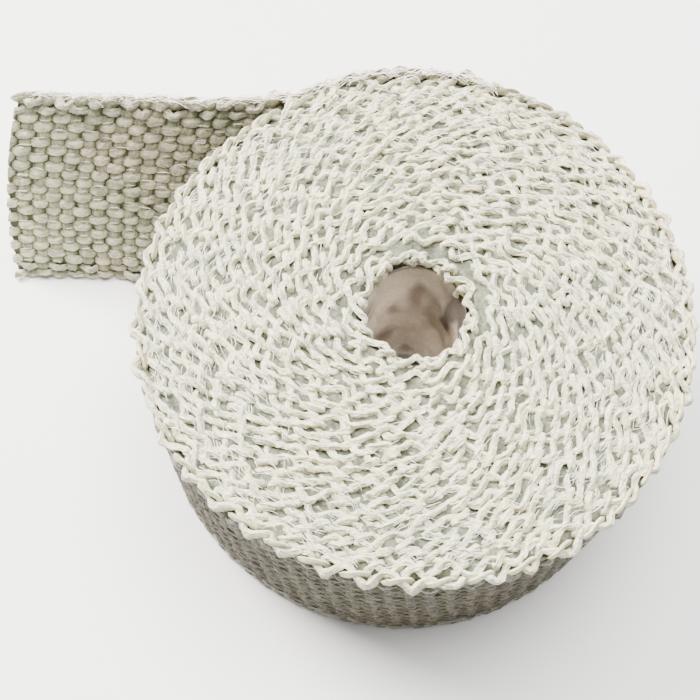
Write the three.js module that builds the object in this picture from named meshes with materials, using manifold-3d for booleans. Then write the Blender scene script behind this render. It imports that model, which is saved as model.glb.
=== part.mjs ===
// A roll of woven glass-fibre exhaust heat wrap, lying on its end, with the free end of the
// tape standing on its edge beside it, and the paper tube that it is wound on.
// Millimetres, +Z up. The origin is under the middle of the whole thing, on the table.

import * as THREE from 'three';
import * as BufferGeometryUtils from 'three/addons/utils/BufferGeometryUtils.js';
import Module from 'manifold-3d';

const wasm = await Module();
wasm.setup();

// Driving dimensions

const tapeWidth = 50.8;             // a 2 inch tape, which is also the height of the roll
const tapeThickness = 2.1;          // one wound layer
const rollRadius = 52;              // outside of the last turn
const coreRadius = 9.5;             // outside of the paper tube
const coreWall = 1;                 // wall of the paper tube
const coreClearance = 0.3;          // between the tube and the first turn
const coreRecess = 1.2;             // each end of the tube below the end of the roll
const grooveDepth = 0.9;            // valley between two turns, on the ends of the roll
const grooveWidth = 0.7;            // the same valley, across
const tailReach = 89;               // roll axis to the free end's furthest corner, the lower one
const tailCutSkew = 10.5;           // degrees that the free end is cut out of square
const tailLean = 21;                // degrees that the tail leans back from upright
const tailLeave = 118.5;            // degrees round the rim where the tail's upper edge leaves
const tailPeel = 7;                 // degrees before that where the last turn begins to peel
const tailAnchor = 9;               // degrees of the last turn that the tail starts under
const tailSink = 0.4;               // depth of the tail's outer face there, below the rim

const rollSegments = 40;            // facets round the roll
const coreSegments = 24;            // facets round the paper tube
const anchorSteps = 2;              // tail stations on the last turn
const bendSteps = 5;                // tail stations on the bend away from it
const straightSteps = 4;            // tail stations from there to the free end

// Sizes that follow from them

const boreRadius = coreRadius + coreClearance;
const turns = Math.max(2, Math.round((rollRadius - boreRadius) / tapeThickness));
const turnPitch = (rollRadius - boreRadius) / turns;
const tailHalf = turnPitch / 2;
const tailTrackRadius = rollRadius - tailHalf - tailSink;
const tailHeight = tapeWidth * Math.cos(THREE.MathUtils.degToRad(tailLean));
const tailSetback = tapeWidth * Math.sin(THREE.MathUtils.degToRad(tailLean));
const upperOffset = rollRadius * Math.sin(THREE.MathUtils.degToRad(tailLeave));
const lowerOffset = upperOffset - tailSetback;
const upperReach = tailReach - tailHeight * Math.tan(THREE.MathUtils.degToRad(tailCutSkew));
const rollAxisX = (tailReach - rollRadius) / 2;

// Materials

const glassCloth = new THREE.MeshStandardMaterial({ color: 0xe4e3d9, roughness: 0.85, metalness: 0 });
const kraftPaper = new THREE.MeshStandardMaterial({ color: 0xa58f78, roughness: 0.9, metalness: 0 });

// A geometry as a solid for the boolean join, and the joined solid as a geometry again

function toSolid(geometry) {
  const bare = geometry.index ? geometry.toNonIndexed() : geometry.clone();
  bare.deleteAttribute('normal');
  bare.deleteAttribute('uv');
  const merged = BufferGeometryUtils.mergeVertices(bare, 1e-4);
  return new wasm.Manifold(new wasm.Mesh({
    numProp: 3,
    vertProperties: new Float32Array(merged.attributes.position.array),
    triVerts: new Uint32Array(merged.index.array),
  }));
}

function toGeometry(solid) {
  const mesh = solid.getMesh();
  const geometry = new THREE.BufferGeometry();
  geometry.setAttribute('position', new THREE.BufferAttribute(mesh.vertProperties, 3));
  geometry.setIndex(new THREE.BufferAttribute(mesh.triVerts, 1));
  geometry.computeVertexNormals();
  return geometry;
}

// One end of the wound roll, from the bore outwards: a flat land for the edge of each turn,
// and a shallow valley between it and the next turn

function turnEdges(endHeight, valleyHeight) {
  const points = [];
  for (let turn = 0; turn < turns; turn += 1) {
    const inner = boreRadius + turn * turnPitch;
    const outer = inner + turnPitch;
    const landStart = turn === 0 ? inner : inner + grooveWidth / 2;
    const landEnd = turn === turns - 1 ? outer : outer - grooveWidth / 2;
    points.push(new THREE.Vector2(landStart, endHeight));
    points.push(new THREE.Vector2(landEnd, endHeight));
    if (turn < turns - 1) {
      points.push(new THREE.Vector2(outer, valleyHeight));
    }
  }
  return points;
}

function makeRoll() {
  const lowerEnd = turnEdges(0, grooveDepth);
  const upperEnd = turnEdges(tapeWidth, tapeWidth - grooveDepth).reverse();
  const profile = [...lowerEnd, ...upperEnd, lowerEnd[0].clone()];
  const roll = new THREE.LatheGeometry(profile, rollSegments);
  roll.rotateX(Math.PI / 2);
  return roll;
}

// The track of one edge of the tail, seen from above: a little of the last turn, a bend that
// starts along the turn and ends along -X, and a straight run to the free end

function tailTrack(offset, reach) {
  const leave = Math.PI - Math.asin(offset / tailTrackRadius);
  const peel = leave - THREE.MathUtils.degToRad(tailPeel);
  const anchor = peel - THREE.MathUtils.degToRad(tailAnchor);
  const onTurn = (angle) => new THREE.Vector3(
    tailTrackRadius * Math.cos(angle), tailTrackRadius * Math.sin(angle), 0);
  const bendStart = onTurn(peel);
  const heading = new THREE.Vector3(-Math.sin(peel), Math.cos(peel), 0);
  const bendRun = (offset - bendStart.y) / heading.y;
  const bendCorner = bendStart.clone().addScaledVector(heading, bendRun);
  const bendEnd = new THREE.Vector3(bendCorner.x - bendRun, offset, 0);
  const bend = new THREE.QuadraticBezierCurve3(bendStart, bendCorner, bendEnd);
  const straight = new THREE.LineCurve3(bendEnd, new THREE.Vector3(-reach, offset, 0));

  const stations = [];
  for (let step = 0; step < anchorSteps; step += 1) {
    const angle = THREE.MathUtils.lerp(anchor, peel, step / anchorSteps);
    stations.push({ at: onTurn(angle), along: new THREE.Vector3(-Math.sin(angle), Math.cos(angle), 0) });
  }
  for (let step = 0; step < bendSteps; step += 1) {
    const t = step / bendSteps;
    stations.push({ at: bend.getPoint(t), along: bend.getTangent(t) });
  }
  for (let step = 0; step <= straightSteps; step += 1) {
    const t = step / straightSteps;
    stations.push({ at: straight.getPoint(t), along: straight.getTangent(t) });
  }
  return stations;
}

// The tail is a box of the tape's section, one slice for each station, bent so that its two
// long edges follow their tracks. Its faces are offset level, so its lower edge lies flat.

function makeTail() {
  const lower = tailTrack(lowerOffset, tailReach);
  const upper = tailTrack(upperOffset, upperReach);
  const slices = lower.length - 1;
  const tail = new THREE.BoxGeometry(slices, 2 * tailHalf, tailHeight, slices, 1, 1);
  const position = tail.attributes.position;
  const outward = new THREE.Vector3(0, 0, 1);
  for (let i = 0; i < position.count; i += 1) {
    const slice = Math.round(position.getX(i) + slices / 2);
    const track = position.getZ(i) < 0 ? lower : upper;
    const { at, along } = track[slice];
    const side = new THREE.Vector3().crossVectors(along, outward);
    const height = position.getZ(i) < 0 ? 0 : tailHeight;
    const face = Math.sign(position.getY(i)) * tailHalf;
    position.setXYZ(i, at.x - side.x * face, at.y - side.y * face, height);
  }
  return tail;
}

function makeHeatWrap() {
  return toGeometry(toSolid(makeRoll()).add(toSolid(makeTail())));
}

// The paper tube is open right through

function makePaperCore() {
  const inner = coreRadius - coreWall;
  const low = coreRecess;
  const high = tapeWidth - coreRecess;
  const profile = [
    new THREE.Vector2(inner, low),
    new THREE.Vector2(coreRadius, low),
    new THREE.Vector2(coreRadius, high),
    new THREE.Vector2(inner, high),
    new THREE.Vector2(inner, low),
  ];
  const core = new THREE.LatheGeometry(profile, coreSegments);
  core.rotateX(Math.PI / 2);
  return core;
}

const wrapRoll = new THREE.Group();
wrapRoll.position.set(rollAxisX, 0, 0);

const heatWrap = new THREE.Mesh(makeHeatWrap(), glassCloth);
heatWrap.name = 'heat_wrap';
wrapRoll.add(heatWrap);

const paperCore = new THREE.Mesh(makePaperCore(), kraftPaper);
paperCore.name = 'paper_core';
wrapRoll.add(paperCore);

export default wrapRoll;
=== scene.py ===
import math

import bpy
import numpy as np
from mathutils import Matrix, Vector


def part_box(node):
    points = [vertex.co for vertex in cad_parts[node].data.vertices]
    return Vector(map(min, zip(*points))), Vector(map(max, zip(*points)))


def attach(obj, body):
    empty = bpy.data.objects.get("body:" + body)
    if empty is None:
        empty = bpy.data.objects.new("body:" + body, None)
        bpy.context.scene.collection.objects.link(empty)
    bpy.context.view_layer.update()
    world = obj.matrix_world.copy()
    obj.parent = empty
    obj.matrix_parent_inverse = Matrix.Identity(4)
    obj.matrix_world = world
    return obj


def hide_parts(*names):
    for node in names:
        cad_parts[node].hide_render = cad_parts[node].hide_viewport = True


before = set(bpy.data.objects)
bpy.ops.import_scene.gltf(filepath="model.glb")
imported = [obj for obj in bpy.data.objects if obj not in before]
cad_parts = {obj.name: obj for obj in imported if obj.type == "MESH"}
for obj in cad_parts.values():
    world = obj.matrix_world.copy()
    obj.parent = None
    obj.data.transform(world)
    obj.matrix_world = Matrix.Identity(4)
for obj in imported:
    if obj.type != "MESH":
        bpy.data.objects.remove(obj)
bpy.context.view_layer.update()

MM = 0.001

# The roll's own sizes, in millimetres, read from the frame
wrap_low, wrap_high = (np.array(corner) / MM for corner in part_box("heat_wrap"))
core_low, core_high = (np.array(corner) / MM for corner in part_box("paper_core"))
TAPE_WIDTH = wrap_high[2] - wrap_low[2]
ROLL_RADIUS = wrap_high[1]
AXIS_X = wrap_high[0] - ROLL_RADIUS
CORE_RADIUS = (core_high[0] - core_low[0]) / 2

# The turns, as in the solid roll, except that the yarns bulge a little past its rim
CORE_CLEARANCE = 0.3
BORE_RADIUS = CORE_RADIUS + CORE_CLEARANCE
TURNS = 20
RIM_BULGE = 1.0
TURN_PITCH = (ROLL_RADIUS + RIM_BULGE - BORE_RADIUS) / TURNS

# The weave: warp ends run along the tape, picks of weft cross it and turn back at its edges
WARPS = 24
PICK = 3.7
TAIL_PICK = 3.3
EDGE_MARGIN = 0.4
WARP_SPACING = (TAPE_WIDTH - 2 * EDGE_MARGIN) / WARPS
EDGE_WARPS = 2

# How far a yarn swings from the cloth's middle: the warp on the slack tail, where it is drawn
# tight and at the edges, and the weft
WARP_SWING = 0.62
TIGHT_SWING = 0.2
EDGE_SWING = 0.95
WEFT_SWING = 0.42

# The free tail, as it leaves the rim and stands on its lower edge
TAIL_LEAN = math.radians(21)
TAIL_LEAVE = math.radians(118.5)
TAIL_PEEL = math.radians(7)
TAIL_REACH = AXIS_X - wrap_low[0]
TAIL_CUT_SKEW = math.radians(10.5)
TRACK_RADIUS = ROLL_RADIUS + RIM_BULGE - TURN_PITCH / 2
WEFT_BOW = 2.2

# The last turn starts this far round before the angle at which the tail leaves
LAST_TURN_BACK = math.radians(366)


# Tools for shaping meshes


def start_clean():
    if bpy.context.object and bpy.context.object.mode != "OBJECT":
        bpy.ops.object.mode_set(mode="OBJECT")
    bpy.ops.object.select_all(action="DESELECT")


def apply_modifiers(piece):
    start_clean()
    piece.select_set(True)
    bpy.context.view_layer.objects.active = piece
    for modifier in list(piece.modifiers):
        bpy.ops.object.modifier_apply(modifier=modifier.name)


def get_points(piece):
    flat = np.empty(len(piece.data.vertices) * 3)
    piece.data.vertices.foreach_get("co", flat)
    return flat.reshape(-1, 3)


def set_points(piece, points):
    piece.data.vertices.foreach_set("co", np.ascontiguousarray(points, dtype=np.float64).ravel())
    piece.data.update()


def smooth(piece, degrees=60):
    start_clean()
    piece.select_set(True)
    bpy.context.view_layer.objects.active = piece
    bpy.ops.object.shade_smooth_by_angle(angle=math.radians(degrees))


def face_outward(piece):
    start_clean()
    bpy.context.view_layer.objects.active = piece
    piece.select_set(True)
    bpy.ops.object.mode_set(mode="EDIT")
    bpy.ops.mesh.select_all(action="SELECT")
    bpy.ops.mesh.normals_make_consistent(inside=False)
    bpy.ops.object.mode_set(mode="OBJECT")


def join(name, pieces):
    start_clean()
    for piece in pieces:
        piece.select_set(True)
    bpy.context.view_layer.objects.active = pieces[0]
    bpy.ops.object.join()
    pieces[0].name = name
    pieces[0].data.name = name
    return pieces[0]


def ripple(x, y, z, size, seed):
    """Smooth noise from -1 to 1 at many points, as a sum of seeded waves."""
    rng = np.random.default_rng(seed)
    total = np.zeros(np.broadcast(x, y, z).shape)
    waves = 9
    for _ in range(waves):
        direction = rng.normal(size=3)
        direction *= rng.uniform(0.6, 1.5) * 2 * math.pi / size / np.linalg.norm(direction)
        phase = rng.uniform(0, 2 * math.pi)
        total += np.sin(x * direction[0] + y * direction[1] + z * direction[2] + phase)
    return total / math.sqrt(waves)


# Straight yarns, each led along its own path

# The copies of a yarn lie side by side, this many units apart, while they are still straight
COPY_STRIDE = 4


def yarn_copies(name, rings, sides, copies):
    """A grid rolled up into a closed tube along X, one unit for each ring, and its copies, with
    each point's share of the length, its copy, and its place in the round section."""
    start_clean()
    bpy.ops.mesh.primitive_grid_add(x_subdivisions=rings, y_subdivisions=sides, size=2, calc_uvs=True)
    yarn = bpy.context.object
    yarn.name = name
    yarn.data.name = name
    flat = get_points(yarn)
    ring = np.round((flat[:, 0] + 1) / 2 * rings)
    turn = (flat[:, 1] + 1) * math.pi
    set_points(yarn, np.stack([ring, np.cos(turn), np.sin(turn)], axis=1))
    bpy.ops.object.mode_set(mode="EDIT")
    bpy.ops.mesh.select_all(action="SELECT")
    bpy.ops.mesh.remove_doubles(threshold=0.001)
    bpy.ops.mesh.select_all(action="SELECT")
    bpy.ops.mesh.fill_holes(sides=sides)
    bpy.ops.object.mode_set(mode="OBJECT")
    if copies > 1:
        row = yarn.modifiers.new("copies", "ARRAY")
        row.use_relative_offset = False
        row.use_constant_offset = True
        row.constant_offset_displace = (0, COPY_STRIDE, 0)
        row.count = copies
        row.offset_u = 0.37
        row.offset_v = 0.11
        apply_modifiers(yarn)
    points = get_points(yarn)
    copy = np.round(points[:, 1] / COPY_STRIDE)
    return yarn, points[:, 0] / rings, copy, points[:, 1] - copy * COPY_STRIDE, points[:, 2]


YARN_GIRTH = 3.2


def measure_uv(piece, length):
    """Stretches a yarn's UV map to millimetres along it and around it."""
    layer = piece.data.uv_layers.active.data
    flat = np.empty(len(layer) * 2)
    layer.foreach_get("uv", flat)
    flat = flat.reshape(-1, 2) * (length, YARN_GIRTH)
    layer.foreach_set("uv", flat.ravel())


def keep_on_points(piece, name, values):
    attribute = piece.data.attributes.new(name, "FLOAT", "POINT")
    attribute.data.foreach_set("value", values)


# Lengths back from the tape's free end over which its painted shade changes. The roll's side and the
# tail near it are painted dark as shade, and the tail grows paler towards its free end. The last
# value is the share of the change to the pale end that is reached where the tail leaves the roll
TAIL_TONE_START, TAIL_TONE_RUN = 125, 50
PALE_START, PALE_RUN = 75, 66
PALE_AT_ROLL = 0.24

# The white fluffy band along the tape's edges, and how much of its white is kept at the lower
# edge of the last turn, where it falls back to the side's painted shade, and lost at the upper
# edge of the tail
EDGE_BAND, EDGE_FADE = 3.0, 1.2
LOWER_WHITE_KEPT = 0.35
TAIL_WHITE_LOST = 0.8


def mark_tape(piece, flat):
    """Keeps on each point how near the tape's edge it lies, how near the tail's free end, and
    how far it stands proud of the yarns round it. The last two are masks of painted shade:
    the tape is painted darker towards the roll and where a yarn lies low between others."""
    s, w, t = flat[:, 0], flat[:, 1], flat[:, 2]
    from_end = TAPE_LENGTH - s
    on_tail = np.clip((TAIL_TONE_START - from_end) / TAIL_TONE_RUN, 0, 1)
    past_edge = np.abs(w - TAPE_WIDTH / 2) - TAPE_WIDTH / 2
    fluffy = np.clip((past_edge + EDGE_BAND) / EDGE_FADE, 0, 1)
    # Mask of painted shade: low where a yarn lies deep between the yarns round it, where its colour
    # is darkened
    inside = np.clip((np.abs(t) - 0.3) / (0.3 + 0.35 * slack(s)), 0, 1)
    outmost = np.clip((past_edge + 2.1) / 1.9, 0, 1)
    keep_on_points(piece, "proud", inside + (outmost - inside) * fluffy)
    # Painted shade: the last turn's lower edge keeps little white and takes the side's dark tones
    lower = np.where(s > LAST_START_LENGTH, LOWER_WHITE_KEPT, 1.0)
    fluffy *= np.where(w > TAPE_WIDTH / 2, 1 - TAIL_WHITE_LOST * on_tail, lower)
    fluffy = np.where(s < LAST_START_LENGTH - 3, 1.0, fluffy)
    keep_on_points(piece, "near_edge", fluffy)
    # near_end: 0 on the roll's side, which is painted dark as shade, rising towards 1 at the tail's
    # free end
    paler = (1 - PALE_AT_ROLL) * (PALE_START - from_end) / PALE_RUN
    keep_on_points(piece, "near_end", np.clip(PALE_AT_ROLL * on_tail + paler, 0, 1))


def swept(path, along, copy, across, up, half_width, half_thick):
    """Points of a yarn led along path(along, copy), which gives (s, w, t) on the flat tape."""
    step = 1e-4
    here = path(along, copy)
    ahead = path(np.minimum(along + step, 1), copy) - path(np.maximum(along - step, 0), copy)
    ahead /= np.maximum(np.linalg.norm(ahead, axis=1, keepdims=True), 1e-12)
    out = np.array([0.0, 0.0, 1.0])
    side = np.cross(ahead, out)
    side /= np.maximum(np.linalg.norm(side, axis=1, keepdims=True), 1e-12)
    top = np.cross(side, ahead)
    return here + side * (across * half_width)[:, None] + top * (up * half_thick)[:, None]


# Winding the flat tape: a point of it is (s, w, t), its length, height and distance outwards


def spiral_radius(angle):
    """Radius of the tape's middle, this far round from where the tape starts."""
    return BORE_RADIUS + TURN_PITCH / 2 + TURN_PITCH * angle / (2 * math.pi)


FULL_ANGLE = (TURNS - 1) * 2 * math.pi
SPIRAL_START = TAIL_LEAVE - FULL_ANGLE


def spiral_length(angle):
    """Length of tape that is wound by this angle."""
    first = BORE_RADIUS + TURN_PITCH / 2
    return first * angle + TURN_PITCH * angle ** 2 / (4 * math.pi)


def spiral_angle(length):
    """Angle at which this length of tape is wound."""
    first = BORE_RADIUS + TURN_PITCH / 2
    radius = np.sqrt(first ** 2 + TURN_PITCH * np.maximum(length, 0) / math.pi)
    return (radius - first) * 2 * math.pi / TURN_PITCH


LAST_START_ANGLE = FULL_ANGLE - LAST_TURN_BACK
LAST_START_LENGTH = spiral_length(LAST_START_ANGLE)


def last_track(share):
    """The tape's last turn and tail seen from above, at this share of its width, as points."""
    upper_offset = TRACK_RADIUS * math.sin(TAIL_LEAVE)
    offset = upper_offset - TAPE_WIDTH * math.sin(TAIL_LEAN) * (1 - share)
    skew = TAPE_WIDTH * math.cos(TAIL_LEAN) * math.tan(TAIL_CUT_SKEW)
    reach = TAIL_REACH - skew * share
    leave = math.pi - math.asin(offset / TRACK_RADIUS)
    peel = leave - TAIL_PEEL
    angles = np.linspace(LAST_START_ANGLE, FULL_ANGLE + peel - TAIL_LEAVE, 500)
    radii = np.minimum(spiral_radius(angles), TRACK_RADIUS)
    turned = angles + SPIRAL_START
    wound = np.stack([radii * np.cos(turned), radii * np.sin(turned)], axis=1)
    start = wound[-1]
    heading = np.array([-math.sin(peel), math.cos(peel)])
    run = (offset - start[1]) / heading[1]
    corner = start + heading * run
    end = np.array([corner[0] - run, offset])
    t = np.linspace(0, 1, 60)[1:, None]
    bend = (1 - t) ** 2 * start + 2 * t * (1 - t) * corner + t ** 2 * end
    free = np.stack([np.linspace(end[0], -reach, 80)[1:], np.full(79, offset)], axis=1)
    return np.concatenate([wound, bend, free])


# Steps of the even grid on which the last turn and the tail are laid
LAY_ALONG = 900
LAY_ACROSS = 25

# The tail's upper edge sinks to its lean over this run, which starts this far from the end
STAND_START, STAND_RUN = 75, 40


def lay_last_turn():
    """Places, outward normals and mean length of the last turn and tail, on an even grid."""
    shares = np.linspace(0, 1, LAY_ACROSS)
    places = np.zeros((LAY_ALONG, LAY_ACROSS, 3))
    lengths = []
    for column, share in enumerate(shares):
        track = last_track(share)
        steps = np.linalg.norm(np.diff(track, axis=0), axis=1)
        run = np.concatenate([[0], np.cumsum(steps)])
        lengths.append(run[-1])
        even = np.linspace(0, run[-1], LAY_ALONG)
        for axis in range(2):
            places[:, column, axis] = np.interp(even, run, track[:, axis])
        free = np.clip((even - (run[-1] - STAND_START)) / STAND_RUN, 0, 1)
        free = free * free * (3 - 2 * free)
        stand = 1 + (math.cos(TAIL_LEAN) - 1) * free
        places[:, column, 2] = share * TAPE_WIDTH * stand
    ahead = np.gradient(places, axis=0)
    upward = np.gradient(places, axis=1)
    outward = np.cross(ahead, upward)
    outward /= np.linalg.norm(outward, axis=2, keepdims=True)
    return places, outward, float(np.mean(lengths))


LAY_PLACES, LAY_OUTWARD, LAST_LENGTH = lay_last_turn()
TAPE_LENGTH = LAST_START_LENGTH + LAST_LENGTH

# The last length of the tape has its closer weave, from this first pick on
CLOSE_WEAVE_LENGTH = 92
FIRST_TAIL_PICK = int((TAPE_LENGTH - CLOSE_WEAVE_LENGTH) // PICK)
PICKS = FIRST_TAIL_PICK + int((TAPE_LENGTH - FIRST_TAIL_PICK * PICK) // TAIL_PICK)
FIRST_LAST_PICK = int(LAST_START_LENGTH // PICK) + 1


def pick_place(pick):
    """How far along the tape a pick of weft lies: the weave is a little closer on the tail."""
    return PICK * pick - (PICK - TAIL_PICK) * np.maximum(pick - FIRST_TAIL_PICK, 0)


def on_grid(grid, row, column):
    """Values between the points of a grid, at these rows and columns with their fractions."""
    row = np.clip(row, 0, grid.shape[0] - 1.001)
    column = np.clip(column, 0, grid.shape[1] - 1.001)
    r = row.astype(int)
    c = column.astype(int)
    fr = (row - r)[:, None]
    fc = (column - c)[:, None]
    low = grid[r, c] * (1 - fc) + grid[r, c + 1] * fc
    high = grid[r + 1, c] * (1 - fc) + grid[r + 1, c + 1] * fc
    return low * (1 - fr) + high * fr


BULGE_SHARE = 0.022
BULGE_ANGLE = math.radians(195)
BULGE_WIDTH = math.radians(38)
BULGE_END, BULGE_FADE = 60, 5


def out_of_round(x, y):
    """The hand-wound roll bulges a little on its left side, beyond where the tail leaves."""
    angle = np.mod(np.arctan2(y, x), 2 * math.pi)
    reach = np.hypot(x, y)
    bulge = np.exp(-((angle - BULGE_ANGLE) / BULGE_WIDTH) ** 2)
    return 1 + BULGE_SHARE * bulge * np.clip((BULGE_END - reach) / BULGE_FADE, 0, 1)


# The weft's bow grows over this run of the tail, and nothing lies lower than the floor gap
BOW_START, BOW_RUN = 90, 60
FLOOR_GAP = 0.05


def wound(points):
    """Flat tape points led onto the roll and its tail, in metres in the object's frame."""
    s, w, t = points[:, 0], points[:, 1], points[:, 2]
    angle = spiral_angle(s)
    radius = spiral_radius(angle) + t
    angle = angle + SPIRAL_START
    rolled = np.stack([radius * np.cos(angle), radius * np.sin(angle), w], axis=1)
    share = w / TAPE_WIDTH
    late = np.clip((s - TAPE_LENGTH + BOW_START) / BOW_RUN, 0, 1)
    bowed = s - LAST_START_LENGTH + WEFT_BOW * late * 4 * share * (1 - share)
    row = bowed / LAST_LENGTH * (LAY_ALONG - 1)
    column = share * (LAY_ACROSS - 1)
    place = on_grid(LAY_PLACES, row, column)
    beyond = np.clip(row - (LAY_ALONG - 1), 0, None) * LAST_LENGTH / (LAY_ALONG - 1)
    place[:, 0] -= beyond
    place[:, 2] += np.where(share < 0, w, 0) + np.where(share > 1, w - TAPE_WIDTH, 0)
    laid = place + on_grid(LAY_OUTWARD, row, column) * t[:, None]
    result = np.where((s < LAST_START_LENGTH)[:, None], rolled, laid)
    result[:, :2] *= out_of_round(result[:, 0], result[:, 1])[:, None]
    result[:, 0] += AXIS_X
    result[:, 2] = np.maximum(result[:, 2], FLOOR_GAP)
    return result * MM


# Yarn paths on the flat tape


def warp_height(number):
    return EDGE_MARGIN + (number + 0.5) * WARP_SPACING


def uneven(s, w, seed, size=6.0):
    """Smooth noise over the flat tape, which makes its weave a little irregular."""
    return ripple(s, w, 0 * s, size, seed)


def beside_edge(number):
    """1 for the outermost yarns of the tape, and 0 for those inside the cloth."""
    from_edge = np.minimum(number, WARPS - 1 - number)
    return np.clip(1 - from_edge / EDGE_WARPS, 0, 1)


SLACK_START, SLACK_RUN = 105, 25
TURN_BLEND = 10


def slack(s):
    """0 where the tape is drawn tight round the roll, and 1 on its free tail."""
    return np.clip((s - TAPE_LENGTH + SLACK_START) / SLACK_RUN, 0, 1)


def on_last_turn(s):
    """0 on the hidden turns, and 1 on the last turn and the tail."""
    return np.clip((s - LAST_START_LENGTH) / TURN_BLEND, 0, 1)


def warp_wave(s, w, pick, number):
    """A warp end's wave over and under the weft, flat on its crests and steep between them."""
    wave = np.cos(math.pi * (pick + number) + 0.4 * uneven(s, w, 12, 15))
    inside = np.sign(wave) * np.abs(wave) ** 0.6
    edge = wave + 0.12 * wave ** 3
    return inside + (edge - inside) * (beside_edge(number) > 0)


HANG_LENGTHS = (0, 30, 58, 68, 82, 140)
HANG_DEPTHS = (-0.55, -0.9, -2.1, -2.2, -0.8, 0)


def hang_over(s):
    """How far the first turns' upper edge leans in over the paper tube, and most where it
    comes round to the tape's own start."""
    return np.interp(s, HANG_LENGTHS, HANG_DEPTHS)


def raised(s, number):
    """Among the hidden turns the second yarn from each edge is pushed up to the first one."""
    hidden = np.clip((LAST_START_LENGTH - s) / TURN_BLEND, 0, 1)
    return 0.75 * hidden * (np.where(number == WARPS - 2, 1, 0) - np.where(number == 1, 1, 0))


def warp_path(first_pick, picks, first_warp):
    def path(along, copy):
        pick = first_pick + along * picks
        number = first_warp + copy
        s = pick_place(pick)
        w = warp_height(number)
        edge = beside_edge(number)
        drift = (0.12 + 0.3 * edge) * uneven(s, w, 11)
        inside = TIGHT_SWING + (WARP_SWING - TIGHT_SWING) * slack(s)
        swing = inside + (EDGE_SWING - inside) * edge
        swing = swing * (1 + (0.12 + 0.2 * edge) * uneven(s, w, 16, 9))
        calm = on_last_turn(s) * (1 - slack(s)) * (number < EDGE_WARPS)
        t = swing * (1 - 0.8 * calm) * warp_wave(s, w, pick, number)
        t = t + (0.08 + 0.2 * edge * (1 - calm)) * uneven(s, w, 13, 7)
        t = t + hang_over(s) * (number >= WARPS - EDGE_WARPS)
        return np.stack([s, w + drift + raised(s, number), t], axis=1)
    return path


def tuft(along_mm, across, up, seed, share):
    """How a textured yarn's section swells and shrinks, lump by lump."""
    return 1 + share * ripple(along_mm, across * 0.7, up * 0.7, 2.0, seed)


def warp_yarns(name, first_pick, picks, first_warp, warps, rings_per_pick=6, sides=6):
    """Warp ends side by side: flat and tight inside the cloth, rounder and lumpy at its edges."""
    rings = picks * rings_per_pick
    yarn, along, copy, across, up = yarn_copies(name, rings, sides, warps)
    pick = first_pick + along * picks
    s = pick_place(pick)
    number = first_warp + copy
    w = warp_height(number)
    crest = np.abs(warp_wave(s, w, pick, number))
    edge = beside_edge(number) > 0
    lumps = tuft(s + 40 * copy, across, up, 14, np.where(edge, 0.27, 0.07))
    inside = 1.12 + (0.08 + 0.18 * slack(s)) * np.minimum(1, 1.5 * crest)
    half_width = np.where(edge, 0.85 + 0.15 * on_last_turn(s), inside) * lumps
    half_thick = np.where(edge, 0.70, 0.52) * lumps
    path = warp_path(first_pick, picks, first_warp)
    flat = swept(path, along, copy, across, up, half_width, half_thick)
    set_points(yarn, wound(flat))
    mark_tape(yarn, flat)
    measure_uv(yarn, picks * PICK)
    return yarn


WEFT_MARGIN = 1.35
WEFT_LOW = WEFT_MARGIN
WEFT_HIGH = TAPE_WIDTH - WEFT_MARGIN
LOOP_REACH = 0.6


def weft_depth(pick, w):
    """How far the weft lies from the cloth's middle: under each warp end that is on top of it."""
    number = np.clip(w / WARP_SPACING - EDGE_MARGIN / WARP_SPACING - 0.5, 0, WARPS - 1)
    return -WEFT_SWING * np.cos(math.pi * pick) * np.cos(math.pi * number)


def weft_path(first_pick, picks, turn_share):
    """One weft yarn going to and fro across the tape, with a turn at each edge."""
    def path(along, copy):
        count = np.clip(along * picks, 0, picks - 1e-6)
        whole = np.floor(count)
        part = count - whole
        upward = (first_pick + whole) % 2 == 0
        run = np.clip(part / (1 - turn_share), 0, 1)
        turn = np.clip((part - (1 - turn_share)) / turn_share, 0, 1)
        w = WEFT_LOW + (WEFT_HIGH - WEFT_LOW) * np.where(upward, run, 1 - run)
        w = w + np.where(upward, 1, -1) * LOOP_REACH * np.sin(math.pi * turn)
        pick = first_pick + whole + (1 - np.cos(math.pi * turn)) / 2
        s = pick_place(pick)
        t = weft_depth(pick, w) * (1 + 0.35 * slack(s))
        shift = 0.3 * uneven(s, w, 21, 9)
        return np.stack([s + shift, w, t + 0.06 * uneven(s, w, 22)], axis=1)
    return path


def weft_yarn(name, first_pick, picks, run_rings=66, turn_rings=8, sides=6):
    rings = picks * (run_rings + turn_rings)
    yarn, along, copy, across, up = yarn_copies(name, rings, sides, 1)
    path = weft_path(first_pick, picks, turn_rings / (run_rings + turn_rings))
    slackness = slack(path(along, copy)[:, 0])
    half_width = 1.1 + 0.25 * slackness
    flat = swept(path, along, copy, across, up, half_width, 0.5 + 0.08 * slackness)
    set_points(yarn, wound(flat))
    mark_tape(yarn, flat)
    measure_uv(yarn, picks * TAPE_WIDTH)
    return yarn


# The outermost warp end and the weft beside it always lie on opposite sides of the cloth. This
# is the weft's side at the upper edge and at the lower one.
UPPER_SIDE = math.cos(math.pi * (WARPS - 1))
LOWER_SIDE = -1.0
LOOP_LEG = 3.2
LOOP_FOOT = 0.3


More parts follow.
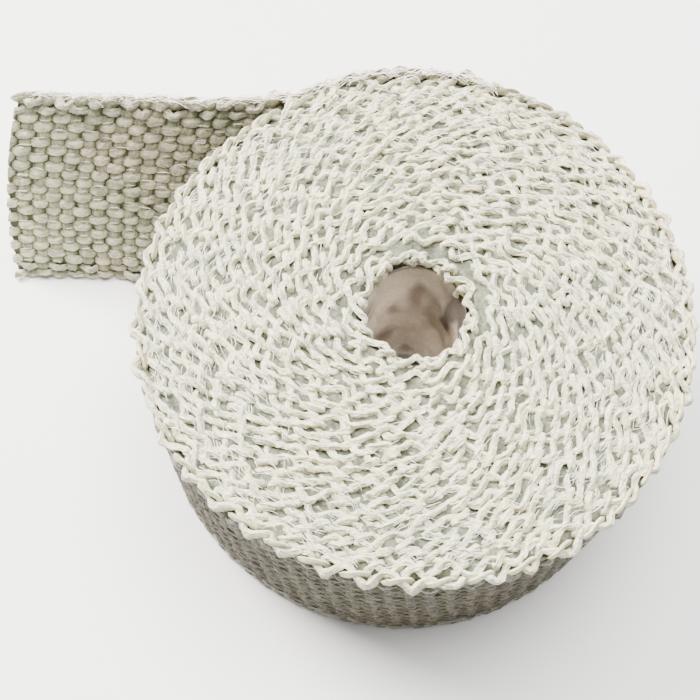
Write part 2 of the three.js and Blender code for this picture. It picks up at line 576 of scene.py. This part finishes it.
def loop_path(first_pick, upper):
    """A short length of weft at one edge: up beside one pick, over, and down beside the next."""
    side = UPPER_SIDE if upper else LOWER_SIDE

    def path(along, copy):
        base = first_pick + 2 * copy + 0.16 * ripple(copy * 3.3, copy * 0, copy * 0, 5.0, 36)
        over = np.clip((along - LOOP_FOOT) / 0.4, 0, 1)
        pick = base + 0.5 - 0.3 * np.cos(math.pi * over)
        going_up = np.clip((LOOP_FOOT - along) / LOOP_FOOT, 0, 1)
        going_down = np.clip((along - 0.7) / LOOP_FOOT, 0, 1)
        reach = LOOP_REACH * (1 + 0.45 * ripple(copy * 2.7, copy * 0, copy * 0, 5.0, 35))
        rise = reach * np.sin(math.pi * over) - LOOP_LEG * (going_up + going_down)
        w = WEFT_HIGH + rise if upper else WEFT_LOW - rise
        s = pick_place(pick)
        t = -0.85 * np.cos(math.pi * over) * side + 0.25 * uneven(s, w * 0, 37, 14)
        t = t + (hang_over(s) if upper else 0)
        shift = 0.6 * uneven(s, w, 31, 9)
        lift = 0.25 * uneven(s, w * 0, 32, 11) * (1 if upper else 0)
        return np.stack([s + shift, w + lift, t + 0.12 * uneven(s, w, 33)], axis=1)
    return path


def edge_loops(name, upper, rings, sides):
    """The weft's turns at one edge of all the hidden turns, one for each pair of picks."""
    first = 0 if upper else 1
    copies = (FIRST_LAST_PICK - first) // 2
    yarn, along, copy, across, up = yarn_copies(name, rings, sides, copies)
    size = 0.68 * tuft(along * 10 + copy * 17, across, up, 34, 0.28)
    flat = swept(loop_path(first, upper), along, copy, across, up, size * 1.15, size)
    set_points(yarn, wound(flat))
    mark_tape(yarn, flat)
    measure_uv(yarn, 10.0)
    return yarn


# Loose fibres: short ones on the turns' edges, long strayed ones, and bright ones on the weft


def filaments(name, rng, places, lengths, thicknesses, spread, bowed=0.3, curled=0.12):
    """Filaments laid round these places of the flat tape: start along it, height and aside."""
    start, height, aside = places
    rings, sides = 6, 3
    count = len(start)
    fibre, along, copy, across, up = yarn_copies(name, rings, sides, count)
    heading = rng.normal(0, spread, count)
    length = rng.uniform(*lengths, count)
    curl = rng.normal(0, curled, count)
    climb = rng.normal(0, 0.07, count)
    thick = rng.uniform(*thicknesses, count)

    def path(share, which):
        which = which.astype(int)
        run = (share - 0.5) * length[which]
        turned = heading[which] + curl[which] * run
        bow = bowed * np.cos(math.pi * (share - 0.5)) + climb[which] * run
        return np.stack([start[which] + run * np.cos(turned), height[which] + bow,
                         aside[which] + run * np.sin(turned)], axis=1)

    taper = thick[copy.astype(int)] * (0.4 + 0.6 * np.sin(math.pi * np.clip(along, 0.03, 0.97)))
    set_points(fibre, wound(swept(path, along, copy, across, up, taper, taper)))
    measure_uv(fibre, 10.0)
    return fibre


def edge_fuzz(name, count, seed, stretch, lift, lengths, thicknesses, spread, curled=0.12):
    """Filaments strewn evenly over the turns' upper edges, along this stretch of the tape."""
    first, last = stretch
    rng = np.random.default_rng(seed)
    start = np.sqrt(rng.uniform(first ** 2, last ** 2, count))
    aside = rng.uniform(-1.2, 0.6, count)
    height = TAPE_WIDTH + rng.uniform(*lift, count)
    places = (start, height, aside)
    return filaments(name, rng, places, lengths, thicknesses, spread, curled=curled)


def weft_glints(name, count, seed):
    """Bright filaments across the weft, where it comes to the tail's inner face."""
    rng = np.random.default_rng(seed)
    pick = PICKS - 1 - rng.integers(0, 20, count)
    number = 2 * rng.integers(EDGE_WARPS // 2, WARPS // 2 - 1, count) + pick % 2
    start = pick_place(pick) + rng.uniform(-0.3, 0.3, count)
    height = warp_height(number) + rng.uniform(-0.45, 0.45, count)
    aside = np.full(count, -1.25)
    places = (start, height, aside)
    return filaments(name, rng, places, (1.6, 2.6), (0.06, 0.1), spread=0.06, bowed=0.06)


# The tape's upper edge lies on the roll's face up to this far from its free end
OFF_FACE_LENGTH = 100


def loose_fibres():
    face_length = TAPE_LENGTH - OFF_FACE_LENGTH
    short = edge_fuzz("short_fuzz", 2000, 61, (0.5, face_length - 330), (-0.8, -0.2),
                      (1.5, 3.5), (0.035, 0.08), spread=0.4, curled=0.15)
    strayed = edge_fuzz("strayed_fuzz", 60, 62, (0.5, face_length - 1000), (-0.1, 0.2),
                        (6, 12), (0.03, 0.06), spread=0.8)
    tail = edge_fuzz("tail_fuzz", 420, 63, (face_length, TAPE_LENGTH - 4), (-0.7, 1.0),
                     (2.0, 6.0), (0.05, 0.11), spread=0.3)
    glints = weft_glints("weft_glints", 200, 64)
    return join("loose_fibres", [short, strayed, tail, glints])


# Materials


def new_group(name, inputs, outputs):
    group = bpy.data.node_groups.new(name, "ShaderNodeTree")
    for label, kind, value in inputs:
        socket = group.interface.new_socket(name=label, in_out="INPUT", socket_type=kind)
        socket.default_value = value
    for label, kind in outputs:
        group.interface.new_socket(name=label, in_out="OUTPUT", socket_type=kind)
    return group, group.nodes.new("NodeGroupInput"), group.nodes.new("NodeGroupOutput")


def math_node(tree, operation, first, second=None, third=None, clamp=False):
    node = tree.nodes.new("ShaderNodeMath")
    node.operation = operation
    node.use_clamp = clamp
    for socket, value in zip(node.inputs, (first, second, third)):
        if value is None:
            continue
        if isinstance(value, (int, float)):
            socket.default_value = value
        else:
            tree.links.new(value, socket)
    return node.outputs[0]


def strand_group():
    """Fine filaments along a yarn, from its own UV map: a height and a light and dark mask."""
    group, given, made = new_group(
        "yarn_strands",
        [("Along", "NodeSocketFloat", 0.5), ("Around", "NodeSocketFloat", 4.0)],
        [("Height", "NodeSocketFloat"), ("Mask", "NodeSocketFloat")],
    )
    uv = group.nodes.new("ShaderNodeTexCoord")
    split = group.nodes.new("ShaderNodeSeparateXYZ")
    group.links.new(uv.outputs["UV"], split.inputs[0])
    join_up = group.nodes.new("ShaderNodeCombineXYZ")
    for axis, label in enumerate(("Along", "Around")):
        stretched = math_node(group, "MULTIPLY", split.outputs[axis], given.outputs[label])
        group.links.new(stretched, join_up.inputs[axis])
    strands = group.nodes.new("ShaderNodeTexNoise")
    strands.inputs["Scale"].default_value = 1.0
    strands.inputs["Detail"].default_value = 3.0
    strands.inputs["Distortion"].default_value = 0.6
    group.links.new(join_up.outputs[0], strands.inputs["Vector"])
    group.links.new(strands.outputs[0], made.inputs["Height"])
    mask = math_node(group, "SUBTRACT", strands.outputs[0], 0.36)
    group.links.new(math_node(group, "MULTIPLY", mask, 3.6, clamp=True), made.inputs["Mask"])
    return group


def blotch_group():
    """Blotches and fine grain in the object's own space, for tint and bump."""
    group, given, made = new_group(
        "soft_blotches",
        [("Scale", "NodeSocketFloat", 60.0), ("Grain", "NodeSocketFloat", 1600.0)],
        [("Blotch", "NodeSocketFloat"), ("Grain", "NodeSocketFloat")],
    )
    place = group.nodes.new("ShaderNodeTexCoord")
    for label, detail in (("Scale", 2.0), ("Grain", 4.0)):
        cloud = group.nodes.new("ShaderNodeTexNoise")
        cloud.inputs["Detail"].default_value = detail
        group.links.new(place.outputs["Object"], cloud.inputs["Vector"])
        group.links.new(given.outputs[label], cloud.inputs["Scale"])
        group.links.new(cloud.outputs[0], made.inputs["Blotch" if label == "Scale" else "Grain"])
    return group


STRANDS = strand_group()
BLOTCHES = blotch_group()


def place_group(tree, group, **values):
    """A node group placed in a material, with these values for its inputs."""
    node = tree.nodes.new("ShaderNodeGroup")
    node.node_tree = group
    for label, value in values.items():
        node.inputs[label].default_value = value
    return node


def ramp(tree, factor, stops):
    """A colour ramp over these stops, each a place and a colour."""
    node = tree.nodes.new("ShaderNodeValToRGB")
    while len(node.color_ramp.elements) < len(stops):
        node.color_ramp.elements.new(0.5)
    for element, (place, colour) in zip(node.color_ramp.elements, stops):
        element.position = place
        element.color = (*colour, 1)
    tree.links.new(factor, node.inputs[0])
    return node.outputs[0]


def mix_colour(tree, factor, first, second, blend="MIX"):
    node = tree.nodes.new("ShaderNodeMix")
    node.data_type = "RGBA"
    node.blend_type = blend
    sockets = (node.inputs[0], node.inputs[6], node.inputs[7])
    for socket, value in zip(sockets, (factor, first, second)):
        if isinstance(value, (int, float)):
            socket.default_value = value
        elif isinstance(value, tuple):
            socket.default_value = (*value, 1)
        else:
            tree.links.new(value, socket)
    return node.outputs[2]


def new_material(name, roughness):
    material = bpy.data.materials.new(name)
    material.use_nodes = True
    tree = material.node_tree
    shader = tree.nodes["Principled BSDF"]
    shader.inputs["Roughness"].default_value = roughness
    return material, tree, shader


def bump(tree, shader, height, distance, strength):
    node = tree.nodes.new("ShaderNodeBump")
    node.inputs["Distance"].default_value = distance
    node.inputs["Strength"].default_value = strength
    tree.links.new(height, node.inputs["Height"])
    tree.links.new(node.outputs[0], shader.inputs["Normal"])


def attribute(tree, name):
    node = tree.nodes.new("ShaderNodeAttribute")
    node.attribute_name = name
    return node.outputs["Fac"]


WHITE = (1.0, 1.0, 1.0)
FLUFF = ((0.58, 0.55, 0.41), (0.94, 0.86, 0.64), (1.0, 0.93, 0.72))
# Colour of the painted shade on the paper tube's wall
PAINTED_SHADE_COLOUR = (0.055, 0.043, 0.033)


def yarn_material(name, dark, light, pale, shine, roughness, sheen, fleck_share, shade_share):
    """Texturised glass yarn: streaked by its filaments, and white and fluffy on the tape's edges. It
    also carries
    painted shade: dark tones on the roll's side and the tail near it, paler towards the tail's end,
    and darker where it lies low between other yarns."""
    material, tree, shader = new_material(name, roughness)
    strands = place_group(tree, STRANDS, Along=0.38, Around=1.7)
    clouds = place_group(tree, BLOTCHES, Scale=85.0, Grain=1500.0)
    mask = strands.outputs["Mask"]
    blotch = clouds.outputs["Blotch"]
    grain = clouds.outputs["Grain"]
    # The dark and light tones: painted shade, for the tape on the roll's side in shadow
    body = ramp(tree, mask, [(0.0, dark), (1.0, light)])
    pale_hollow = tuple(0.55 * part for part in pale)
    # The pale tone of the lit tail end, where the painted shade gives way
    unshaded_tone = ramp(tree, mask, [(0.0, pale_hollow), (0.8, pale)])
    paler = mix_colour(tree, attribute(tree, "near_end"), body, unshaded_tone)
    fluff = ramp(tree, mask, [(0.0, FLUFF[0]), (0.55, FLUFF[1]), (1.0, FLUFF[2])])
    colour = mix_colour(tree, attribute(tree, "near_edge"), paler, fluff)
    warm = ramp(tree, blotch, [(0.3, (0.86, 0.90, 0.86)), (0.7, (1.0, 0.975, 0.92))])
    flecks = ramp(tree, grain, [(0.40, (0.52, 0.56, 0.52)), (0.58, WHITE)])
    toned = mix_colour(tree, 1.0, colour, warm, "MULTIPLY")
    flecked = mix_colour(tree, fleck_share, toned, flecks, "MULTIPLY")
    # Painted shade: darker where a yarn lies low between others
    recess_shade = ramp(tree, attribute(tree, "proud"), [(0.05, (0.30, 0.33, 0.26)), (0.8, WHITE)])
    shaded = mix_colour(tree, shade_share, flecked, recess_shade, "MULTIPLY")
    tree.links.new(shaded, shader.inputs["Base Color"])
    height = math_node(tree, "MULTIPLY_ADD", grain, 0.5, strands.outputs["Height"])
    bump(tree, shader, height, 0.001, 1.0)
    shader.inputs["Sheen Weight"].default_value = sheen
    shader.inputs["Sheen Roughness"].default_value = 0.5
    shader.inputs["Specular IOR Level"].default_value = shine
    return material


def plain_material(name, dark, light, scale, roughness, strength, fleck_share=0.0, painted_shade=None):
    """A matt material blotched between two tones, with flecks and painted shade from a mask if asked.
    """
    material, tree, shader = new_material(name, roughness)
    clouds = place_group(tree, BLOTCHES, Scale=scale, Grain=1500.0)
    colour = ramp(tree, clouds.outputs["Blotch"], [(0.35, dark), (0.65, light)])
    if fleck_share:
        flecks = ramp(tree, clouds.outputs["Grain"], [(0.38, (0.45, 0.5, 0.45)), (0.62, WHITE)])
        colour = mix_colour(tree, fleck_share, colour, flecks, "MULTIPLY")
    if painted_shade:
        colour = mix_colour(tree, attribute(tree, painted_shade), colour, PAINTED_SHADE_COLOUR)
    tree.links.new(colour, shader.inputs["Base Color"])
    shader.inputs["Specular IOR Level"].default_value = 0.15
    bump(tree, shader, clouds.outputs["Grain"], 0.0004 if fleck_share else 0.0002, strength)
    return material


# For each yarn the dark and light tones are painted shade of the roll's side in shadow, far darker
# than the cream glass; the pale tone is the yarn's colour at the tail's free end
warp_finish = yarn_material(
    "glass_warp", (0.05, 0.043, 0.027), (0.175, 0.15, 0.10), (0.98, 0.90, 0.66),
    shine=0.12, roughness=0.6, sheen=0.0, fleck_share=0.25, shade_share=0.85)
# The weft's pale tone is darker than the warp's: painted shade in the gaps between the warp bumps
weft_finish = yarn_material(
    "glass_weft", (0.045, 0.04, 0.026), (0.155, 0.135, 0.092), (0.52, 0.50, 0.34),
    shine=0.2, roughness=0.5, sheen=0.0, fleck_share=0.2, shade_share=0.85)
edge_finish = yarn_material(
    "glass_edge", (0.06, 0.05, 0.03), (0.20, 0.17, 0.11), (0.84, 0.77, 0.57),
    shine=0.3, roughness=0.6, sheen=0.5, fleck_share=0.6, shade_share=0.3)
fibre_finish = plain_material(
    "glass_fibre", (0.70, 0.66, 0.56), (0.92, 0.88, 0.78),
    scale=400.0, roughness=0.55, strength=0.3)
# Near-black cloth middle: painted shade in the gaps between the yarns
ground_finish = plain_material(
    "glass_ground", (0.07, 0.07, 0.04), (0.13, 0.13, 0.08),
    scale=220.0, roughness=0.9, strength=0.6)
# Dark grey-green inner turns: painted shade in the pits between the edge loops
depth_finish = plain_material(
    "glass_depth", (0.1, 0.11, 0.078), (0.22, 0.222, 0.168),
    scale=480.0, roughness=0.9, strength=1.0, fleck_share=0.6)
# Kraft paper, darkened by its mask of painted shade
paper_finish = plain_material(
    "kraft_paper", (0.62, 0.55, 0.48), (0.90, 0.80, 0.70),
    scale=75.0, roughness=0.85, strength=0.4, fleck_share=0.25, painted_shade="painted_shade")
floor_finish = plain_material(
    "pale_floor", (0.84, 0.84, 0.84), (0.86, 0.86, 0.86),
    scale=8.0, roughness=0.8, strength=0.0)


def finish_piece(piece, material):
    piece.data.materials.clear()
    piece.data.materials.append(material)
    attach(piece, "root")


# The inner turns, imported solid under their edges: rings drawn out from the bore, dark as painted
# shade in the pits between the edge loops

BODY_SINK = 1.45
BODY_RIM = ROLL_RADIUS - 1.3 * TURN_PITCH
BODY_FACETS = 240


def packed_section():
    """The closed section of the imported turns, from the bore across the top, down and back."""
    across = [(BORE_RADIUS + 0.5, -0.9)]
    turn = 0
    while BORE_RADIUS + (turn + 1) * TURN_PITCH < BODY_RIM:
        inner = BORE_RADIUS + turn * TURN_PITCH
        across.append((inner + (1.0 if turn == 0 else 0.05), -0.4))
        across.append((inner + (1.3 if turn == 0 else 0.3 * TURN_PITCH), 0.0))
        across.append((inner + 0.7 * TURN_PITCH, 0.0))
        turn += 1
    across.append((BODY_RIM, -0.7))
    upper = [(radius, TAPE_WIDTH - BODY_SINK + rise) for radius, rise in across]
    lower = [(radius, BODY_SINK - rise) for radius, rise in reversed(across)]
    return upper + lower


def make_packed_turns():
    start_clean()
    section = packed_section()
    radius, height = section[0]
    bpy.ops.mesh.primitive_circle_add(
        vertices=BODY_FACETS, radius=radius * MM, fill_type="NOTHING",
        location=(AXIS_X * MM, 0, height * MM))
    body = bpy.context.object
    body.name = "packed_turns"
    bpy.ops.object.transform_apply(location=True, rotation=True, scale=True)
    bpy.ops.object.mode_set(mode="EDIT")
    bpy.ops.mesh.select_all(action="SELECT")
    centre = (AXIS_X * MM, 0, 0)
    for new_radius, new_height in section[1:] + section[:1]:
        grow = new_radius / radius
        bpy.ops.mesh.extrude_edges_move()
        bpy.ops.transform.resize(value=(grow, grow, 1), center_override=centre)
        bpy.ops.transform.translate(value=(0, 0, (new_height - height) * MM))
        radius, height = new_radius, new_height
    bpy.ops.mesh.select_all(action="SELECT")
    bpy.ops.mesh.remove_doubles(threshold=0.00002)
    bpy.ops.object.mode_set(mode="OBJECT")
    points = get_points(body) / MM
    x, y = points[:, 0] - AXIS_X, points[:, 1]
    reach = np.hypot(x, y)
    since_leave = np.mod(np.arctan2(y, x) - TAIL_LEAVE, 2 * math.pi) / (2 * math.pi)
    outward = np.clip((reach - BORE_RADIUS) / 6, 0, 1) * TURN_PITCH * since_leave
    grow = (reach + outward) / reach * out_of_round(x, y)
    points[:, 0] = AXIS_X + x * grow
    points[:, 1] = y * grow
    broad = 0.2 * ripple(x, y, points[:, 2], 9.0, 41)
    fine = 0.26 * ripple(x, y, points[:, 2], 3.4, 42)
    points[:, 2] += broad + fine
    set_points(body, points * MM)
    face_outward(body)
    smooth(body)
    return body


# The ground of the last turn and tail: the thin middle of the cloth, between its yarns, near-black as
# painted shade in the gaps

GROUND_HALF = 0.28
GROUND_MARGIN = 1.8
GROUND_SHORT = 0.6


def make_ground():
    start_clean()
    columns, rows = 260, 24
    bpy.ops.mesh.primitive_grid_add(x_subdivisions=columns, y_subdivisions=rows, size=2)
    ground = bpy.context.object
    ground.name = "tape_ground"
    flat = get_points(ground)
    s = LAST_START_LENGTH + (flat[:, 0] + 1) / 2 * (LAST_LENGTH - GROUND_SHORT)
    w = GROUND_MARGIN + (flat[:, 1] + 1) / 2 * (TAPE_WIDTH - 2 * GROUND_MARGIN)
    set_points(ground, wound(np.stack([s, w, 0 * s], axis=1)))
    thick = ground.modifiers.new("cloth", "SOLIDIFY")
    thick.thickness = 2 * GROUND_HALF * MM
    thick.offset = 0
    apply_modifiers(ground)
    face_outward(ground)
    smooth(ground)
    return ground


# The crumpled paper tube

# Painted shade on its wall: an angle in degrees, a height, a reach round the tube, a reach
# up it and a strength. The first four are painted shadows of creases, and the others are painted
# shade that dulls the wall near the upper end, where the light comes in.
CREASES = (
    (57, 31, 5.2, 8.0, 0.66),
    (118, 17, 2.6, 4.0, 0.55),
    (84, 7, 1.4, 2.2, 0.55),
    (152, 36, 2.2, 4.5, 0.35),
    (3, 46, 7.0, 12.0, 0.95),
    (22, 41, 4.0, 11.0, 0.93),
    (187, 47, 4.5, 8.0, 0.9),
)


# Keeps on the tube a mask of painted shade: crease shadows, the dulled lit wall and its rim
def paint_crease_shade(core):
    points = get_points(core) / MM
    angle = np.arctan2(points[:, 1], points[:, 0] - AXIS_X)
    height = points[:, 2]
    uneven_rim = 1 + 0.35 * ripple(9 * np.cos(angle), 9 * np.sin(angle), height, 6.0, 55)
    shade = np.zeros(len(points))
    for degrees, level, around, rise, strength in CREASES:
        turn = np.mod(angle - math.radians(degrees) + math.pi, 2 * math.pi) - math.pi
        away = np.hypot(turn * CORE_RADIUS / around, (height - level) / rise) * uneven_rim
        shade = np.maximum(shade, strength * np.clip(1.6 - 1.2 * away, 0, 1))
    # The tube's upper rim is painted dark as well: painted shade over its lit edge
    shade = np.maximum(shade, 0.85 * np.clip((height - TAPE_WIDTH + 4.0) / 0.6, 0, 1))
    keep_on_points(core, "painted_shade", shade)


TUBE_RECESS = 3.2
TUBE_WALL = 0.35


def make_paper_core():
    start_clean()
    bpy.ops.mesh.primitive_grid_add(x_subdivisions=110, y_subdivisions=60, size=2)
    core = bpy.context.object
    core.name = "paper_tube"
    flat = get_points(core)
    turn = (flat[:, 0] + 1) * math.pi
    height = TUBE_RECESS + (flat[:, 1] + 1) / 2 * (TAPE_WIDTH - 2 * TUBE_RECESS)
    x, y = np.cos(turn), np.sin(turn)
    folds = np.abs(ripple(x * 9, y * 9, height, 8.0, 52))
    dent = ripple(x * 9, y * 9, height, 17.0, 51) * 0.7 + folds * -0.5
    near_top = np.clip((height - TAPE_WIDTH + 13) / 8, 0, 1)
    radius = CORE_RADIUS + np.clip(dent, -1.3, 0.1) * (1 - 0.8 * near_top) + 0.3 * near_top
    ragged = np.clip((height - TAPE_WIDTH + 5) / 4, 0, 1) * 0.8
    ragged = ragged * ripple(x * 9, y * 9, 0 * x, 6.0, 53)
    set_points(core, np.stack([AXIS_X + x * radius, y * radius, height + ragged], axis=1) * MM)
    bpy.ops.object.mode_set(mode="EDIT")
    bpy.ops.mesh.select_all(action="SELECT")
    bpy.ops.mesh.remove_doubles(threshold=0.00001)
    bpy.ops.object.mode_set(mode="OBJECT")
    wall = core.modifiers.new("wall", "SOLIDIFY")
    wall.thickness = TUBE_WALL * MM
    wall.offset = 0
    apply_modifiers(core)
    face_outward(core)
    smooth(core, 40)
    paint_crease_shade(core)
    return core


# Making the roll

packed = make_packed_turns()
finish_piece(packed, depth_finish)

upper_warps = warp_yarns("upper_edge_warps", 0, PICKS, WARPS - EDGE_WARPS, EDGE_WARPS, 6, 6)
finish_piece(upper_warps, edge_finish)
smooth(upper_warps)
upper_loops = edge_loops("upper_edge_loops", True, 18, 6)
finish_piece(upper_loops, edge_finish)
smooth(upper_loops)
lower_warps = warp_yarns("lower_edge_warps", 0, PICKS, 0, EDGE_WARPS, 4, 5)
lower_loops = edge_loops("lower_edge_loops", False, 12, 5)
lower_edges = join("lower_turn_edges", [lower_warps, lower_loops])
finish_piece(lower_edges, edge_finish)
smooth(lower_edges)

last_picks = PICKS - FIRST_LAST_PICK
inner_warps = WARPS - 2 * EDGE_WARPS
outer_warps = warp_yarns("outer_warps", FIRST_LAST_PICK, last_picks, EDGE_WARPS, inner_warps)
finish_piece(outer_warps, warp_finish)
smooth(outer_warps)
outer_weft = weft_yarn("outer_weft", FIRST_LAST_PICK, last_picks)
finish_piece(outer_weft, weft_finish)
smooth(outer_weft)

fibres = loose_fibres()
finish_piece(fibres, fibre_finish)
smooth(fibres)

ground = make_ground()
finish_piece(ground, ground_finish)
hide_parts("heat_wrap")

core = make_paper_core()
finish_piece(core, paper_finish)
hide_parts("paper_core")


# Floor, light and camera


def make_floor():
    start_clean()
    bpy.ops.mesh.primitive_plane_add(size=6)
    floor = bpy.context.object
    floor.name = "floor"
    floor.data.materials.append(floor_finish)


def soft_light(name, place, size, power, colour):
    data = bpy.data.lights.new(name, "AREA")
    data.shape = "DISK"
    data.size = size
    data.energy = power
    data.color = colour
    lamp = bpy.data.objects.new(name, data)
    bpy.context.scene.collection.objects.link(lamp)
    lamp.location = place
    aim = Vector((AXIS_X * MM, 0, 0.03)) - Vector(place)
    lamp.rotation_euler = aim.to_track_quat("-Z", "Y").to_euler()


def make_world():
    world = bpy.data.worlds.new("studio")
    bpy.context.scene.world = world
    world.use_nodes = True
    sky = world.node_tree.nodes["Background"]
    sky.inputs["Color"].default_value = (1.0, 1.0, 1.0, 1)
    sky.inputs["Strength"].default_value = 0.24


# The camera, from the middle of the roll's upper face: how far, from where, and aimed beside it
CAMERA_DISTANCE = 216.6
CAMERA_ELEVATION = math.radians(66.0)
CAMERA_AZIMUTH = math.radians(-10.62)
CAMERA_ROLL = math.radians(12.69)
CAMERA_LENS = 60.0
SENSOR_WIDTH = 36.0
AIM_SIDE = -10.35
AIM_BACK = -11.07


def make_camera():
    data = bpy.data.cameras.new("camera")
    data.lens = CAMERA_LENS
    data.sensor_width = SENSOR_WIDTH
    data.clip_start = 0.01
    data.clip_end = 20
    camera = bpy.data.objects.new("camera", data)
    bpy.context.scene.collection.objects.link(camera)
    face_centre = Vector((AXIS_X, 0, TAPE_WIDTH))
    turn = Matrix.Rotation(CAMERA_AZIMUTH, 3, "Z")
    back = turn @ Vector((0, -math.cos(CAMERA_ELEVATION), math.sin(CAMERA_ELEVATION)))
    place = face_centre + back * CAMERA_DISTANCE
    aim = face_centre + turn @ Vector((AIM_SIDE, AIM_BACK, 0))
    ahead = (aim - place).normalized()
    right = ahead.cross(turn @ Vector((0, 1, 0))).normalized()
    up = right.cross(ahead)
    turned_right = right * math.cos(CAMERA_ROLL) + up * math.sin(CAMERA_ROLL)
    turned_up = up * math.cos(CAMERA_ROLL) - right * math.sin(CAMERA_ROLL)
    axes = Matrix((turned_right, turned_up, -ahead)).transposed()
    camera.matrix_world = Matrix.Translation(place * MM) @ axes.to_4x4()
    bpy.context.scene.camera = camera


make_floor()
make_world()
soft_light("left_key", (-0.55, 0.4, 0.75), size=0.45, power=42, colour=(1.0, 0.975, 0.92))
soft_light("overhead", (0.1, 0.25, 1.1), size=0.8, power=40, colour=(1.0, 0.99, 0.96))
make_camera()
